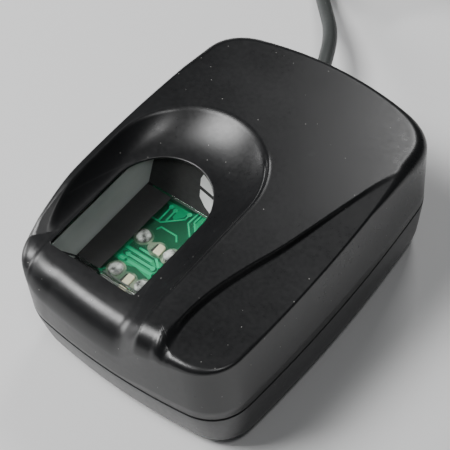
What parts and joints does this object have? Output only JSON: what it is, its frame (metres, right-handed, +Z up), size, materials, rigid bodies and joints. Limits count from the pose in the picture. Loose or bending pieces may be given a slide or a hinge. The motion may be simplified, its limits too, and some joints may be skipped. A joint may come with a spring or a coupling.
{
  "type": "fingerprint scanner terminal",
  "caption": "Black desktop optical fingerprint scanner: two-shell plastic housing, finger channel over an arched glass window, and a USB lead wound in a coil.",
  "frame": {"origin": "on the table, under the middle of the housing", "axes": "+Y from the front with the finger channel to the back where the lead leaves, +Z up, +X to the right"},
  "size_m": [0.0733, 0.1481, 0.0254],
  "materials": {
    "black_plastic": "black ABS, satin with a soft shine",
    "rubber": "matt black rubber",
    "optical_glass": "clear polished glass with ground ends",
    "board_green": "green solder mask with lighter traces",
    "lamp_white": "milky lamp resin",
    "ceramic": "cream ceramic lamp body",
    "black_resin": "matt black moulded resin",
    "steel": "plated steel",
    "brass": "satin brass",
    "connector_white": "white nylon",
    "label_film": "blank satin silver film",
    "cable_vinyl": "dark grey soft vinyl"
  },
  "bodies": {
    "root": {"top_cover": "black_plastic", "bottom_cover": "black_plastic", "cover_screw_1": "steel", "cover_screw_2": "steel", "cover_screw_3": "steel", "rubber_foot_1": "rubber", "rubber_foot_2": "rubber", "rubber_foot_3": "rubber", "rubber_foot_4": "rubber", "rating_plate": "label_film", "prism": "optical_glass", "prism_cradle": "black_resin", "prism_gasket": "rubber", "lamp_board": "board_green", "round_lamp_1": "lamp_white", "round_lamp_2": "lamp_white", "round_lamp_3": "lamp_white", "round_lamp_4": "lamp_white", "chip_lamp_1": "ceramic", "chip_lamp_2": "ceramic", "light_diffuser": "lamp_white", "sensor_board": "board_green", "image_sensor": "black_resin", "lens_holder": "black_resin", "lens_barrel": "brass", "lens": "optical_glass", "main_board": "board_green", "usb_controller": "black_resin", "flash_memory": "black_resin", "crystal": "steel", "voltage_regulator": "black_resin", "board_link": "connector_white", "cable_socket": "connector_white", "cable_connector": "connector_white", "board_screw_1": "steel", "board_screw_2": "steel", "board_screw_3": "steel", "board_screw_4": "steel", "cable_boot": "rubber", "inner_lead": "cable_vinyl", "usb_cable": "cable_vinyl", "cable_coil": "cable_vinyl", "cable_tie": "rubber", "usb_cable_tail": "cable_vinyl", "plug_overmould": "cable_vinyl", "plug_shell": "steel", "plug_tongue": "connector_white", "plug_contact_1": "brass", "plug_contact_2": "brass", "plug_contact_3": "brass", "plug_contact_4": "brass"}
  },
  "joints": []
}
